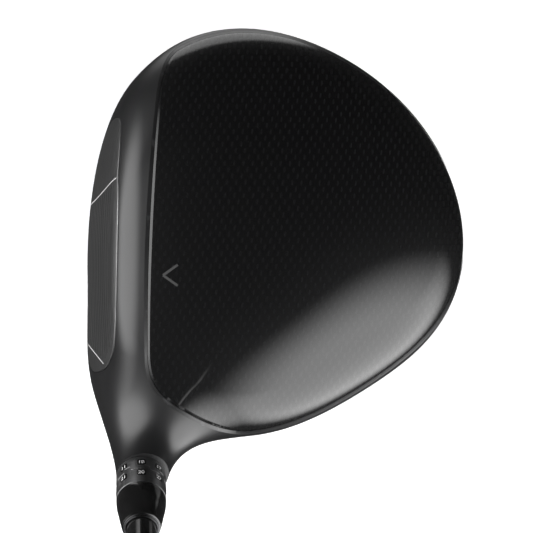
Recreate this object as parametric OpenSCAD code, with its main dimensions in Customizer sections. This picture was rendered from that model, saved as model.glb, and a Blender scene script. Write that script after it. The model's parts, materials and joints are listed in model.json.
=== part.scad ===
// Golf driver: hollow club head with bonded panels, adjustable hosel adapter, shaft and grip.
// Frame: +X from the face to the back, +Y from heel to toe, +Z up, ground at Z = 0.
// The origin is where the shaft's axis meets the ground. Lengths along the shaft start there.

/* [Club] */
// Length along the shaft's axis, from the ground to the end of the grip
club_length = 1156; // [1080:1:1168]
// Angle between the shaft's axis and the ground, in degrees
lie = 57.5; // [56:0.5:59]
// Backward lean of the face, in degrees
loft = 11; // [8:0.5:13]

/* [Head shell] */
// Height of the crown above the ground
crown_height = 62; // [58:0.5:64]
// Thickness of the cast titanium wall
wall = 1.2; // [0.9:0.1:1.6]
// Thickness of the carbon crown and sole panels
panel_t = 1.0; // [0.8:0.1:1.2]
// Thickness of the face plate
face_t = 3.0; // [2.6:0.1:3.4]
// Width of the ledge that a panel is bonded to
ledge_w = 6; // [4:0.5:8]
// Gap between a panel's edge and the chassis
seam_gap = 0.15; // [0.1:0.05:0.3]

/* [Hosel and adapter] */
// Distance from the ground to the end of the hosel, along the axis
hosel_end = 57; // [55:0.5:60]
// Outer radius of the hosel's end, the cog ring and the sleeve's flange
hosel_r = 7.2; // [7:0.1:7.4]
// Radius of the bore that takes the adapter sleeve
hosel_bore_r = 5.45; // [5.4:0.05:5.5]
// Radial clearance of a part that slides or turns in its bore
run_fit = 0.08; // [0.05:0.01:0.1]
// Height of the cog ring
ring_h = 5.4; // [5:0.1:6]
// Height of the sleeve's flange
flange_h = 6; // [5.5:0.1:6.5]
// Length of the ferrule
ferrule_h = 13; // [11:0.5:15]
// Number of cog teeth around the ring
cogs = 8; // [6:1:10]

/* [Shaft and grip] */
// Radius of the shaft's tip
tip_r = 4.3; // [4.25:0.01:4.35]
// Radius of the shaft's butt
butt_r = 7.62; // [7.4:0.01:7.7]
// Length of the grip
grip_len = 267; // [255:1:275]
// Radius of the grip's mouth
grip_mouth_r = 9.6; // [9.3:0.1:10]
// Radius of the grip's butt
grip_butt_r = 13.4; // [13:0.1:13.8]

/* [Weights and screws] */
// Radius of the rear weight
rear_weight_r = 7.5; // [7:0.1:7.8]
// Radius of the front weight
front_weight_r = 6; // [5.6:0.1:6.4]

/* [Hidden] */

$fn = 72;

// Middle of the head; every ray that shapes the shell starts here
centre = [42, 38, 30];
// Plan radius of the head at every 30 degrees from +X
plan_radii = [57, 56.4, 57.7, 63.4, 66.9, 63.8, 67, 68, 64, 56.6, 51.2, 54];
// Height of the widest section, and the radius of the skirt's vertical curve
skirt_z = 27;
skirt_curve = 60;
// Crown dome: highest point, half widths, drop at one half width, and power
crown_at = [26, 36];
crown_half = [86, 82];
crown_drop = 38;
crown_power = 2.3;
// Sole bowl: lowest point, half widths, rise at one half width, and power
sole_at = [16, 32];
sole_half = [84, 78];
sole_rise = 22;
sole_power = 2.2;
// Face: middle of the face, bulge and roll radii
face_at = [-13.6, 30, 30];
face_bulge = 300;
face_roll = 290;
// Blend widths between the surfaces
blend_skirt = 9;
blend_sole = 16;
blend_face = 6;
blend_hosel = 25;
// Growth of the hosel's radius per millimetre towards the head
hosel_flare = 0.03;
// How far the face plate's edge stays from the crown and sole, and from the hosel's fillet
face_margin = 1.2;
face_hosel_margin = 9;

axis = [0, -cos(lie), sin(lie)];
across = [0, sin(lie), cos(lie)];
// Lower end of the hosel's shape inside the head, along the axis, and how softly it ends
hosel_low = 14;
hosel_low_blend = 8;

// Shell grid: steps around and from bottom to top, and the elevation of its first ring
grid_around = 48;
grid_up = 28;
pole_e = 88;
// Halvings that find the surface along a ray
halvings = 20;
// Longer than any distance inside the head
far = 110;

// Neck grid: steps around and along, its lower end, its wall and the depth of its floor
neck_around = 24;
neck_rows = 11;
neck_low = 12.4;
neck_wall = 1.5;
neck_floor = 4.3;
// The fillet starts a little under the head's surface and reaches this far from the axis
neck_sink = 0.35;
neck_reach = 26;

// Gap between parts that are welded or bonded
joint_gap = 0.05;

// Crown seam: front line, its curve, and the diagonal beside the hosel
seam_front = 1.7;
seam_front_y = 14;
seam_front_curve = 1250;
seam_diagonal = [-0.59, -0.81];
seam_diagonal_d = 58.4;
seam_inset = 2.5;
// The crown panel and its ledge stay above these heights
panel_low_z = 33;
ledge_low_z = 36;
seam_blend = 8;

// Sole panels: share of the plan outline, front edge, and half width of the spine between them
sole_share = 0.72;
sole_front_x = 33;
spine_half = 12;
sole_top_z = 22;
ledge_top_z = 20;
ledge_t = 1;

// Hosel, measured from the ground along the axis
tube_r = 6.2;
seat_t = 28;
web_t = 24;
port_r = 4.95;
screw_r = 2.42;
screw_head_r = 3.9;
screw_head_h = 3.6;
screw_tip = 33.5;
washer_h = 0.9;
retainer_t = 12.4;
retainer_h = 1;
notch_h = 1.2;
notch_w = 2;
sleeve_top = hosel_end + ring_h + flange_h;
ferrule_end = sleeve_top + ferrule_h;
bore_bottom = 36;
cog_h = 1.6;

// Shaft and grip, measured the same way
taper_start = 140;
taper_end = 980;
cap_h = 5;
shaft_end = club_length - cap_h - 1;
tape_t = 0.25;
tip_bore_r = 2.5;
butt_bore_r = 6.8;

// Weights: place in plan, lean of the axis from straight down, depths
rear_at = [78, 38];
rear_lean = 22;
front_at = [22, 36];
weight_h = 6.6;
rim_depth = 0.5;
port_wall = 1.6;
stem_r = 1.92;
stem_hole_r = 2;
stem_head_r = 3.2;

// ---------- Shape of the head ----------

function smax(a, b, k) = let(h = max(k - abs(a - b), 0) / k) max(a, b) + h * h * k / 4;
function smin(a, b, k) = -smax(-a, -b, k);
function total(v) = v * [for (i = v) 1];

// The plan outline is a smooth wave through the plan radii
turn = 360 / len(plan_radii);
wave = [for (k = [0:6])
    let(share = (k == 0 || k == 6) ? 1 / 12 : 1 / 6)
    share * [
        total([for (i = [0:11]) plan_radii[i] * cos(k * i * turn)]),
        total([for (i = [0:11]) plan_radii[i] * sin(k * i * turn)])
    ]];
function plan_r(phi) = total([for (k = [0:6]) wave[k] * [cos(k * phi), sin(k * phi)]]);

function dome_q(p, at, half) = sqrt(pow((p.x - at.x) / half.x, 2) + pow((p.y - at.y) / half.y, 2));
function dome_slope(q, rise, power, half) = sqrt(1 + pow(rise * power * pow(q, power - 1) / half.x, 2));
function crown_d(p) =
    let(q = dome_q(p, crown_at, crown_half))
    (p.z - crown_height + crown_drop * pow(q, crown_power))
    / dome_slope(q, crown_drop, crown_power, crown_half);
function sole_d(p) =
    let(q = dome_q(p, sole_at, sole_half))
    (sole_rise * pow(q, sole_power) - p.z) / dome_slope(q, sole_rise, sole_power, sole_half);
function skirt_d(p, r_plan) =
    norm([p.x - centre.x, p.y - centre.y]) - r_plan + pow(p.z - skirt_z, 2) / (2 * skirt_curve);
function face_x(y, z) =
    face_at.x + (z - face_at.z) * tan(loft)
    + pow(y - face_at.y, 2) / (2 * face_bulge) + pow(z - face_at.z, 2) / (2 * face_roll);
function face_d(p) = (face_x(p.y, p.z) - p.x) * cos(loft);
function dome_d(p, r_plan) =
    smax(smax(crown_d(p), skirt_d(p, r_plan), blend_skirt), sole_d(p), blend_sole);
function hosel_d(p) =
    let(t = p * axis)
    let(r = hosel_r + hosel_flare * max(hosel_end - t, 0))
    smax(norm(p - t * axis) - r, hosel_low - t, hosel_low_blend);

// Signed distance-like fields: below zero is inside
function body_f(p, r_plan) = smax(dome_d(p, r_plan), face_d(p), blend_face);
function azimuth(p) = atan2(p.y - centre.y, p.x - centre.x);
function head_f(p, sink = 0) = smin(body_f(p, plan_r(azimuth(p))) + sink, hosel_d(p), blend_hosel);

// Distance along a ray to the level of a field
function body_ray(d, r_plan, level, lo = 0, hi = far, n = halvings) =
    n == 0 ? (lo + hi) / 2
    : let(m = (lo + hi) / 2)
      body_f(centre + m * d, r_plan) < level
      ? body_ray(d, r_plan, level, m, hi, n - 1)
      : body_ray(d, r_plan, level, lo, m, n - 1);
function neck_ray(o, d, level, lo = 0, hi = neck_reach, n = halvings) =
    n == 0 ? (lo + hi) / 2
    : let(m = (lo + hi) / 2)
      head_f(o + m * d, neck_sink) < level
      ? neck_ray(o, d, level, m, hi, n - 1)
      : neck_ray(o, d, level, lo, m, n - 1);
// Height of the sole above the ground at a place in plan
function surface_z(at, lo = -5, hi = 30, n = halvings) =
    n == 0 ? (lo + hi) / 2
    : let(m = (lo + hi) / 2, p = [at.x, at.y, m])
      body_f(p, plan_r(azimuth(p))) < 0 ? surface_z(at, lo, m, n - 1) : surface_z(at, m, hi, n - 1);

// Closed skin through rings of points, from the top down, each ring with the same number of points
module skin(rings) {
    n = len(rings[0]);
    rows = len(rings);
    points = [for (ring = rings) each ring];
    sides = [for (j = [0:rows - 2]) for (i = [0:n - 1])
        let(a = j * n + i, b = j * n + (i + 1) % n)
        each [[a, b, b + n], [a, b + n, a + n]]];
    first = [for (i = [n - 1:-1:0]) i];
    last = [for (i = [0:n - 1]) (rows - 1) * n + i];
    polyhedron(points, concat(sides, [first, last]), convexity = 6);
}

// Head without its hosel, at a depth below the outer surface
module body_solid(depth) {
    step = 360 / grid_around;
    skin([for (j = [0:grid_up])
        let(e = pole_e - 2 * pole_e * j / grid_up)
        [for (i = [0:grid_around - 1])
            let(phi = i * step, r_plan = plan_r(phi))
            let(d = [cos(phi) * cos(e), sin(phi) * cos(e), sin(e)])
            centre + d * body_ray(d, r_plan, -depth)]]);
}

// Hosel with its fillet into the head
module neck_solid(depth, low, high) {
    step = 360 / neck_around;
    skin([for (j = [0:neck_rows])
        let(t = high + (low - high) * j / neck_rows, o = t * axis)
        [for (i = [0:neck_around - 1])
            let(d = cos(i * step) * [1, 0, 0] + sin(i * step) * across)
            o + d * neck_ray(o, d, -depth)]]);
}

// Everything inside is one mesh; fine grids build quickly this way
module as_mesh() {
    resize([0, 0, 0]) children();
}

module layer(from, to) {
    difference() {
        body_solid(from);
        body_solid(to);
    }
}

// ---------- Outlines ----------

function seam_x(y) = seam_front + pow(y - seam_front_y, 2) / seam_front_curve;
// Distance from the centre to the front line, found in three steps because the line is curved
head_reach = 75;
function front_step(r, c, s) = min((seam_x(centre.y + min(r, head_reach) * s) - centre.x) / c, far);
function front_r(c, s) = c > -0.05 ? far : front_step(front_step(front_step(0, c, s), c, s), c, s);
function diagonal_r(c, s) = let(k = [c, s] * seam_diagonal) k < 0.05 ? far : min(seam_diagonal_d / k, far);
function seam_r(phi) =
    let(c = cos(phi), s = sin(phi))
    smin(smin(plan_r(phi) - seam_inset, front_r(c, s), seam_blend), diagonal_r(c, s), seam_blend);

// The outlines' corners stay off the shell grid's directions, which keeps slivers out of the cuts
off_grid = 2;
module plan_outline(share) {
    polygon([for (i = [0:35]) let(phi = 10 * i + off_grid)
        [centre.x, centre.y] + share * plan_r(phi) * [cos(phi), sin(phi)]]);
}
module crown_outline() {
    polygon([for (i = [0:59]) let(phi = 6 * i + off_grid)
        [centre.x, centre.y] + seam_r(phi) * [cos(phi), sin(phi)]]);
}
module sole_outline(side) {
    offset(5, $fn = 24) offset(delta = -5) intersection() {
        plan_outline(sole_share);
        translate([sole_front_x, centre.y + side * spine_half - (side < 0 ? far : 0)])
            square(far);
    }
}

// The face ends where its blend into the crown, sole or hosel begins
function face_edge(y, z) =
    let(p = [face_x(y, z), y, z])
    let(rest = smin(dome_d(p, plan_r(azimuth(p))), hosel_d(p), blend_hosel))
    max(rest + face_margin, face_hosel_margin - hosel_d(p));
function face_r(b, lo = 0, hi = head_reach, n = halvings) =
    n == 0 ? (lo + hi) / 2
    : let(m = (lo + hi) / 2)
      face_edge(face_at.y + m * cos(b), face_at.z + m * sin(b)) < 0
      ? face_r(b, m, hi, n - 1)
      : face_r(b, lo, m, n - 1);
module face_outline() {
    polygon([for (i = [0:59]) let(b = 6 * i) face_r(b) * [cos(b), sin(b)]]);
}

module above(z) {
    translate([0, 0, z]) linear_extrude(far) children();
}
module below(z) {
    translate([0, 0, z - far]) linear_extrude(far) children();
}
// Extrudes an outline in Y and Z through the front of the head
front_depth = 34;
module through_face() {
    translate([-30, face_at.y, face_at.z]) rotate([90, 0, 90]) linear_extrude(front_depth) children();
}
// Band under a panel's edge; it reaches a little outwards, to join the shell beside the panel
ledge_root = 2;
module ledge_ring() {
    difference() {
        offset(delta = ledge_root) children();
        offset(delta = -ledge_w) children();
    }
}

// ---------- Places ----------

module on_axis(t = 0) {
    rotate([90 - lie, 0, 0]) translate([0, 0, t]) children();
}
module on_sole(at, lean) {
    translate([at.x, at.y, surface_z(at)]) rotate([0, 180 - lean, 0]) children();
}
module at_rear() {
    on_sole(rear_at, rear_lean) children();
}
module at_front() {
    on_sole(front_at, 0) children();
}

module tube(r_out, r_in, h) {
    difference() {
        cylinder(r = r_out, h = h);
        translate([0, 0, -1]) cylinder(r = r_in, h = h + 2);
    }
}

// Six-lobed wrench socket
module lobed_socket(r, depth) {
    linear_extrude(depth)
        polygon([for (i = [0:35]) let(a = 10 * i) (r + 0.14 * r * cos(6 * a)) * [cos(a), sin(a)]]);
}

// ---------- Head shell ----------

module sole_cut(side, shrink) {
    below(sole_top_z) offset(delta = -shrink) sole_outline(side);
}

// Hole for a welded weight port, through the sole
module port_cut(r) {
    depth = 30;
    translate([0, 0, -depth]) cylinder(r = port_outer(r) + joint_gap, h = depth + 10, $fn = 36);
}

module chassis() {
    color([0.10, 0.10, 0.11]) as_mesh() {
        difference() {
            union() {
                body_solid(0);
                neck_solid(0, neck_low, hosel_end - 0.3);
            }
            body_solid(wall);
            neck_solid(neck_wall, neck_low + neck_floor, hosel_end - 2);
            above(panel_low_z) crown_outline();
            sole_cut(1, 0);
            sole_cut(-1, 0);
            through_face() face_outline();
            on_axis(-far) rotate(off_grid) cylinder(r = tube_r + joint_gap, h = 2 * far, $fn = 48);
            at_rear() port_cut(rear_weight_r);
            at_front() port_cut(front_weight_r);
        }
        intersection() {
            layer(panel_t, panel_t + ledge_t);
            union() {
                above(ledge_low_z) ledge_ring() crown_outline();
                below(ledge_top_z) ledge_ring() sole_outline(1);
                below(ledge_top_z) ledge_ring() sole_outline(-1);
            }
        }
    }
}

module face_plate() {
    color([0.42, 0.42, 0.44]) as_mesh() intersection() {
        layer(0, face_t);
        through_face() face_outline();
    }
}

module crown_panel() {
    color([0.04, 0.04, 0.045]) as_mesh() intersection() {
        layer(0, panel_t);
        above(panel_low_z) offset(delta = -seam_gap) crown_outline();
    }
}

module sole_panel(side) {
    color([0.05, 0.05, 0.055]) as_mesh() intersection() {
        layer(0, panel_t);
        sole_cut(side, seam_gap);
    }
}
module sole_panel_toe() {
    sole_panel(1);
}
module sole_panel_heel() {
    sole_panel(-1);
}

// Small chevron on the crown, pointing at the face
mark_at = [8.5, 28];
mark_size = 3;
mark_t = 0.1;
module alignment_mark() {
    color([0.85, 0.85, 0.85]) as_mesh() intersection() {
        layer(-mark_t, 0);
        above(panel_low_z) translate(mark_at) polygon(mark_size * [
            [-1, 0], [0.4, 1.1], [1, 1.1], [-0.2, 0], [1, -1.1], [0.4, -1.1]
        ]);
    }
}

// ---------- Hosel ----------

// Half space below the sole at the wrench port, tilted and leaning as the sole does there
port_at = [0, -1, 3.3];
port_tilt = 5.6;
port_lean = 12.6;
module below_sole() {
    translate(port_at) rotate([180 - port_tilt, port_lean, 0]) translate([-far / 2, -far / 2, 0]) cube(far);
}

module cog_notches(r_in, r_out, width, h) {
    for (i = [0:cogs - 1])
        rotate([0, 0, 360 * i / cogs]) translate([r_in, -width / 2, 0]) cube([r_out - r_in, width, h]);
}

module hosel_tube() {
    color([0.55, 0.55, 0.57]) difference() {
        on_axis(-10) cylinder(r = tube_r, h = hosel_end + 9.9);
        on_axis(seat_t) cylinder(r = hosel_bore_r, h = hosel_end);
        on_axis(web_t - 1) cylinder(r = screw_r + 0.28, h = seat_t);
        on_axis(-20) cylinder(r = port_r, h = web_t + 20);
        on_axis(hosel_end - notch_h) cog_notches(hosel_bore_r - 1, tube_r + 1, notch_w, notch_h + 1);
        below_sole();
    }
}

module screw_retainer() {
    color([0.6, 0.6, 0.62]) on_axis(retainer_t) tube(port_r, port_r - 0.7, retainer_h);
}

module screw_washer() {
    color([0.7, 0.7, 0.72]) on_axis(web_t - washer_h - 0.05)
        tube(port_r - run_fit, screw_r + run_fit, washer_h);
}

module hosel_screw() {
    head_top = web_t - washer_h - 0.1;
    color([0.75, 0.72, 0.65]) on_axis() difference() {
        union() {
            translate([0, 0, head_top - screw_head_h]) cylinder(r = screw_head_r, h = screw_head_h);
            translate([0, 0, head_top - 1]) cylinder(r = screw_r, h = screw_tip - head_top + 1);
        }
        translate([0, 0, head_top - screw_head_h - 1]) lobed_socket(2, 3.2);
    }
}

// ---------- Adapter ----------

ring_bore_r = hosel_bore_r;
cog_level = hosel_end + ring_h;

module cog_ring() {
    color([0.30, 0.30, 0.32]) on_axis() {
        difference() {
            translate([0, 0, hosel_end + 0.05]) tube(hosel_r, ring_bore_r, ring_h - 0.1);
            translate([0, 0, cog_level - cog_h])
                cog_notches(ring_bore_r - 1, hosel_r + 1, 2.6, cog_h + 1);
        }
        intersection() {
            translate([0, 0, hosel_end - notch_h + 0.1]) tube(tube_r - 0.1, ring_bore_r, notch_h + 0.2);
            translate([0, 0, hosel_end - notch_h])
                cog_notches(ring_bore_r - 1, tube_r + 1, notch_w - 0.2, notch_h + 2);
        }
    }
}

module adapter_sleeve() {
    color([0.34, 0.34, 0.36]) on_axis() difference() {
        union() {
            translate([0, 0, seat_t + 0.05]) cylinder(r = hosel_bore_r - run_fit, h = cog_level - seat_t);
            translate([0, 0, cog_level]) cylinder(r = hosel_r - 0.02, h = flange_h - 0.05);
            intersection() {
                translate([0, 0, cog_level - cog_h + 0.1]) cylinder(r = hosel_r - 0.02, h = cog_h);
                translate([0, 0, cog_level - cog_h])
                    cog_notches(hosel_bore_r - 1, hosel_r + 1, 2.4, cog_h + 1);
            }
        }
        translate([0, 0, bore_bottom]) cylinder(r = tip_r + 0.05, h = sleeve_top);
        translate([0, 0, seat_t - 1]) cylinder(r = screw_r + run_fit, h = screw_tip + 1 - seat_t + 1);
    }
}

// Profile of the ferrule: radius against the share of its length
function ferrule_r(s) = hosel_r - 0.05 + 0.1 * sin(180 * min(s * 2, 1)) - 1.5 * pow(s, 1.5);
module ferrule() {
    lip = 1.4;
    profile = [for (i = [0:14]) let(s = i / 14) [ferrule_r(s), sleeve_top + s * (ferrule_h - lip)]];
    color([0.03, 0.03, 0.03]) on_axis() rotate_extrude() polygon(concat(
        [[tip_r + 0.15, sleeve_top]], profile,
        [[ferrule_r(1) - 0.45, ferrule_end - 0.7], [tip_r + 0.15, ferrule_end - 0.7]]
    ));
}

// Two thin rings at the ferrule's upper end
module ferrule_trim() {
    color([0.5, 0.5, 0.5]) for (i = [0:1])
        on_axis(ferrule_end - 0.65 + 0.5 * i) tube(ferrule_r(1) - 0.6 - 0.3 * i, tip_r + 0.15, 0.35);
}

// ---------- Shaft and grip ----------

function shaft_r(t) =
    t < taper_start ? tip_r
    : t > taper_end ? butt_r
    : tip_r + (butt_r - tip_r) * (t - taper_start) / (taper_end - taper_start);

module tip_weight() {
    color([0.72, 0.58, 0.25]) on_axis(bore_bottom + 0.6) cylinder(r = tip_bore_r - 0.03, h = 20);
}

module shaft() {
    tip = bore_bottom + 0.3;
    color([0.05, 0.05, 0.055]) on_axis() rotate_extrude() polygon([
        [tip_bore_r, tip], [tip_r, tip], [tip_r, taper_start], [butt_r, taper_end], [butt_r, shaft_end],
        [butt_bore_r, shaft_end], [butt_bore_r, taper_end], [tip_bore_r, taper_start]
    ]);
}

module grip_tape() {
    low = club_length - grip_len + 2;
    color([0.8, 0.75, 0.6]) on_axis() rotate_extrude() polygon([
        [shaft_r(low), low], [shaft_r(low) + tape_t, low], [butt_r + tape_t, taper_end],
        [butt_r + tape_t, shaft_end - 2], [butt_r, shaft_end - 2], [butt_r, taper_end]
    ]);
}

module grip() {
    low = club_length - grip_len;
    top = club_length - cap_h;
    color([0.06, 0.06, 0.06]) on_axis() rotate_extrude() polygon([
        [shaft_r(low) + tape_t, low], [grip_mouth_r - 1, low], [grip_mouth_r, low + 1.5],
        [grip_mouth_r + 0.6, low + 60], [grip_butt_r - 1.2, top - 70], [grip_butt_r, top - 6],
        [grip_butt_r + 0.8, top - 2], [grip_butt_r + 0.8, top], [butt_r + tape_t, top],
        [butt_r + tape_t, taper_end]
    ]);
}

// Radius of the small hole in the middle of the cap
vent_r = 1.5;
module grip_end_cap() {
    color([0.08, 0.08, 0.08]) on_axis(club_length - cap_h) rotate_extrude() polygon([
        [vent_r, -0.9], [butt_r + tape_t - 0.1, -0.9], [butt_r + tape_t - 0.1, 0], [grip_butt_r + 0.8, 0],
        [grip_butt_r + 0.8, cap_h - 2.6], [grip_butt_r - 0.2, cap_h - 0.8], [grip_butt_r - 2.2, cap_h],
        [vent_r, cap_h]
    ]);
}

// ---------- Sole weights ----------

function port_outer(r) = r + run_fit + port_wall;

// Cup that is welded into the sole, with a boss for the screw; its mouth points to local +Z
module weight_port(r) {
    floor_z = -rim_depth - weight_h - 0.1;
    difference() {
        union() {
            translate([0, 0, floor_z - 1.5]) cylinder(r = port_outer(r), h = weight_h + 1.6);
            translate([0, 0, floor_z - 7]) cylinder(r = 4, h = 7);
        }
        translate([0, 0, floor_z]) cylinder(r = r + run_fit, h = far);
        translate([0, 0, floor_z - 6]) cylinder(r = stem_hole_r, h = far);
    }
}
module weight_slug(r) {
    difference() {
        translate([0, 0, -rim_depth - weight_h]) cylinder(r = r, h = weight_h);
        translate([0, 0, -far]) cylinder(r = stem_hole_r, h = 2 * far);
        translate([0, 0, -rim_depth - 2.6]) cylinder(r = stem_head_r + 0.1, h = far);
    }
}
module weight_stem() {
    head_h = 2.2;
    head_low = -rim_depth - 2.5;
    difference() {
        union() {
            translate([0, 0, head_low]) cylinder(r = stem_head_r, h = head_h);
            translate([0, 0, -rim_depth - weight_h - 5.4]) cylinder(r = stem_r, h = weight_h + 3.4);
        }
        translate([0, 0, head_low + 0.7]) lobed_socket(1.8, 3);
    }
}

module rear_weight_port() {
    color([0.5, 0.5, 0.52]) at_rear() weight_port(rear_weight_r);
}
module rear_weight() {
    color([0.35, 0.35, 0.37]) at_rear() weight_slug(rear_weight_r);
}
module rear_weight_screw() {
    color([0.7, 0.7, 0.72]) at_rear() weight_stem();
}
module front_weight_port() {
    color([0.5, 0.5, 0.52]) at_front() weight_port(front_weight_r);
}
module front_weight() {
    color([0.35, 0.35, 0.37]) at_front() weight_slug(front_weight_r);
}
module front_weight_screw() {
    color([0.7, 0.7, 0.72]) at_front() weight_stem();
}

chassis();
face_plate();
crown_panel();
sole_panel_toe();
sole_panel_heel();
alignment_mark();
hosel_tube();
screw_retainer();
screw_washer();
hosel_screw();
cog_ring();
adapter_sleeve();
ferrule();
ferrule_trim();
tip_weight();
shaft();
grip_tape();
grip();
grip_end_cap();
rear_weight_port();
rear_weight();
rear_weight_screw();
front_weight_port();
front_weight();
front_weight_screw();
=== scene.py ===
"""Golf driver: smooth head, bonded panels, turned adapter, ferrule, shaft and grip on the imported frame."""
import json
import math

import bmesh
import bpy
import numpy as np
from mathutils import Matrix, Vector


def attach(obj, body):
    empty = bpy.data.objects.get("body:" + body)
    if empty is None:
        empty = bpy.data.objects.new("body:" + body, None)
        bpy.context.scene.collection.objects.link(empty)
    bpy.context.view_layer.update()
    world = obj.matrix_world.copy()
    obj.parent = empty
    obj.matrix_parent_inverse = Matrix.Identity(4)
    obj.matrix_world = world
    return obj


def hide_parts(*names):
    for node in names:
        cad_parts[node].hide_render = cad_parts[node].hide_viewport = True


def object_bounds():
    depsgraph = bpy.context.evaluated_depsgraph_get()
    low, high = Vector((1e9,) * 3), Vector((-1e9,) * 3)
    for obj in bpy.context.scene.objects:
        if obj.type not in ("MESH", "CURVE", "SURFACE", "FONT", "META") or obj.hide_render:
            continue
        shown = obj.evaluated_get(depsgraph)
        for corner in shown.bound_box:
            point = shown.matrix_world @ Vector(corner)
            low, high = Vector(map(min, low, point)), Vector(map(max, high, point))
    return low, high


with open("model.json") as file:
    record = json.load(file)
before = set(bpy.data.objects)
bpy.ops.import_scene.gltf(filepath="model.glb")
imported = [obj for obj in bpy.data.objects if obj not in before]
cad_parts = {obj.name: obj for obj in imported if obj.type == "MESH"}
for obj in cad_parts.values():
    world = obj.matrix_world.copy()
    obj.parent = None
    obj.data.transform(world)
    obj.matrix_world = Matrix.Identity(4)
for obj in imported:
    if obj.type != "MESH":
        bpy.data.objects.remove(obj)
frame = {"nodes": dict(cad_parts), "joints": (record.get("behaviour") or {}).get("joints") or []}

CAD_LOW, CAD_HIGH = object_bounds()
NODES = frame["nodes"]
JOINTS = {joint["name"]: joint for joint in frame["joints"]}
# Shapes below are worked out in millimetres; the scene is in metres
MM = 0.001

# ---------- Frame of the hosel and shaft ----------

AXIS = np.array(JOINTS["sleeve_pull"]["axis"])
SIDE = np.array([1.0, 0.0, 0.0])
ACROSS = np.cross(AXIS, SIDE)
# Levels along the axis, from the ground
HOSEL_END = 57.0
RING_TOP = 62.4
FLANGE_TOP = 68.4
FERRULE_TOP = 81.4
HOSEL_R = 7.2
TUBE_R = 6.2
BORE_R = 5.45
TIP_R = 4.3
BUTT_R = 7.62
TAPER_START = 140.0
TAPER_END = 980.0
CLUB_LENGTH = 1156.0
GRIP_START = CLUB_LENGTH - 267.0
CAP_H = 5.0

# ---------- Shape of the head ----------

CENTRE = np.array([42.0, 38.0, 30.0])
PLAN_RADII = np.array([57, 56.4, 57.7, 63.4, 66.9, 63.8, 67, 68, 64, 56.6, 51.2, 54])
SKIRT_Z = 27.0
SKIRT_CURVE = 60.0
CROWN_HEIGHT = 62.0
# Crown and sole: highest or lowest point, half widths, rise at one half width, power
CROWN = dict(at=(26.0, 36.0), half=(86.0, 82.0), rise=38.0, power=2.3)
SOLE = dict(at=(16.0, 32.0), half=(84.0, 78.0), rise=22.0, power=2.2)
FACE_AT = np.array([-13.6, 30.0, 30.0])
FACE_BULGE = 300.0
FACE_ROLL = 290.0
LOFT = math.radians(11)
BLEND_SKIRT = 9.0
BLEND_SOLE = 16.0
BLEND_FACE = 6.0
BLEND_HOSEL = 25.0
HOSEL_FLARE = 0.03
HOSEL_LOW = 14.0
HOSEL_LOW_BLEND = 8.0
FACE_MARGIN = 2.4
# The margin shrinks by this much towards the toe, from this Y on and over this length
FACE_TOE_GAIN = 1.7
FACE_TOE_FROM = 58.0
FACE_TOE_OVER = 14.0
FACE_HOSEL_MARGIN = 3.5
PANEL_T = 1.0
FACE_T = 3.0
SHELL_T = 2.0
LEDGE_W = 6.0
SEAM_GAP = 0.15
# Heights that the recesses for the panels and the openings under them are cut from or up to
CROWN_CUT_Z = (33.0, 90.0)
CROWN_HOLE_Z = (34.0, 90.0)
SOLE_CUT_Z = (-20.0, 22.0)
SOLE_HOLE_Z = (-20.0, 24.0)
# Crown seam: front line, its curve, the diagonal beside the hosel and the blend between them
SEAM_FRONT = 1.7
SEAM_FRONT_Y = 14.0
SEAM_FRONT_CURVE = 1250.0
SEAM_DIAGONAL = (-0.59, -0.81)
SEAM_DIAGONAL_D = 58.4
SEAM_INSET = 2.5
SEAM_BLEND = 8.0
# Sole panels: share of the plan outline, front edge, half width of the spine between them
SOLE_SHARE = 0.72
SOLE_FRONT_X = 33.0
SPINE_HALF = 12.0
# Longer than any distance inside the head
FAR = 110.0
HEAD_REACH = 75.0


def smax(a, b, k):
    h = np.maximum(k - np.abs(a - b), 0) / k
    return np.maximum(a, b) + h * h * k / 4


def smin(a, b, k):
    return -smax(-a, -b, k)


def plan_r(phi):
    """Plan radius of the head at an azimuth: the smooth wave through the twelve radii."""
    count = len(PLAN_RADII)
    turns = 2 * np.pi * np.arange(count) / count
    out = 0.0
    for k in range(count // 2 + 1):
        share = (1 if k in (0, count // 2) else 2) / count
        a = share * np.sum(PLAN_RADII * np.cos(k * turns))
        b = share * np.sum(PLAN_RADII * np.sin(k * turns))
        out = out + a * np.cos(k * phi) + b * np.sin(k * phi)
    return out


def dome(p, shape):
    """Rise of a crown or sole at a place in plan, and the factor that turns heights into distances."""
    u = (p[:, 0] - shape["at"][0]) / shape["half"][0]
    v = (p[:, 1] - shape["at"][1]) / shape["half"][1]
    q = np.sqrt(u * u + v * v)
    slope = shape["rise"] * shape["power"] * q ** (shape["power"] - 1) / shape["half"][0]
    return shape["rise"] * q ** shape["power"], np.sqrt(1 + slope * slope)


def dome_field(p):
    flat = p[:, :2] - CENTRE[:2]
    skirt = np.hypot(flat[:, 0], flat[:, 1]) - plan_r(np.arctan2(flat[:, 1], flat[:, 0]))
    skirt = skirt + (p[:, 2] - SKIRT_Z) ** 2 / (2 * SKIRT_CURVE)
    drop, crown_scale = dome(p, CROWN)
    rise, sole_scale = dome(p, SOLE)
    crown = (p[:, 2] - CROWN_HEIGHT + drop) / crown_scale
    sole = (rise - p[:, 2]) / sole_scale
    return smax(smax(crown, skirt, BLEND_SKIRT), sole, BLEND_SOLE)


def face_x(y, z):
    lean = (z - FACE_AT[2]) * math.tan(LOFT)
    bulge = (y - FACE_AT[1]) ** 2 / (2 * FACE_BULGE) + (z - FACE_AT[2]) ** 2 / (2 * FACE_ROLL)
    return FACE_AT[0] + lean + bulge


def body_field(p):
    face = (face_x(p[:, 1], p[:, 2]) - p[:, 0]) * math.cos(LOFT)
    return smax(dome_field(p), face, BLEND_FACE)


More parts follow.
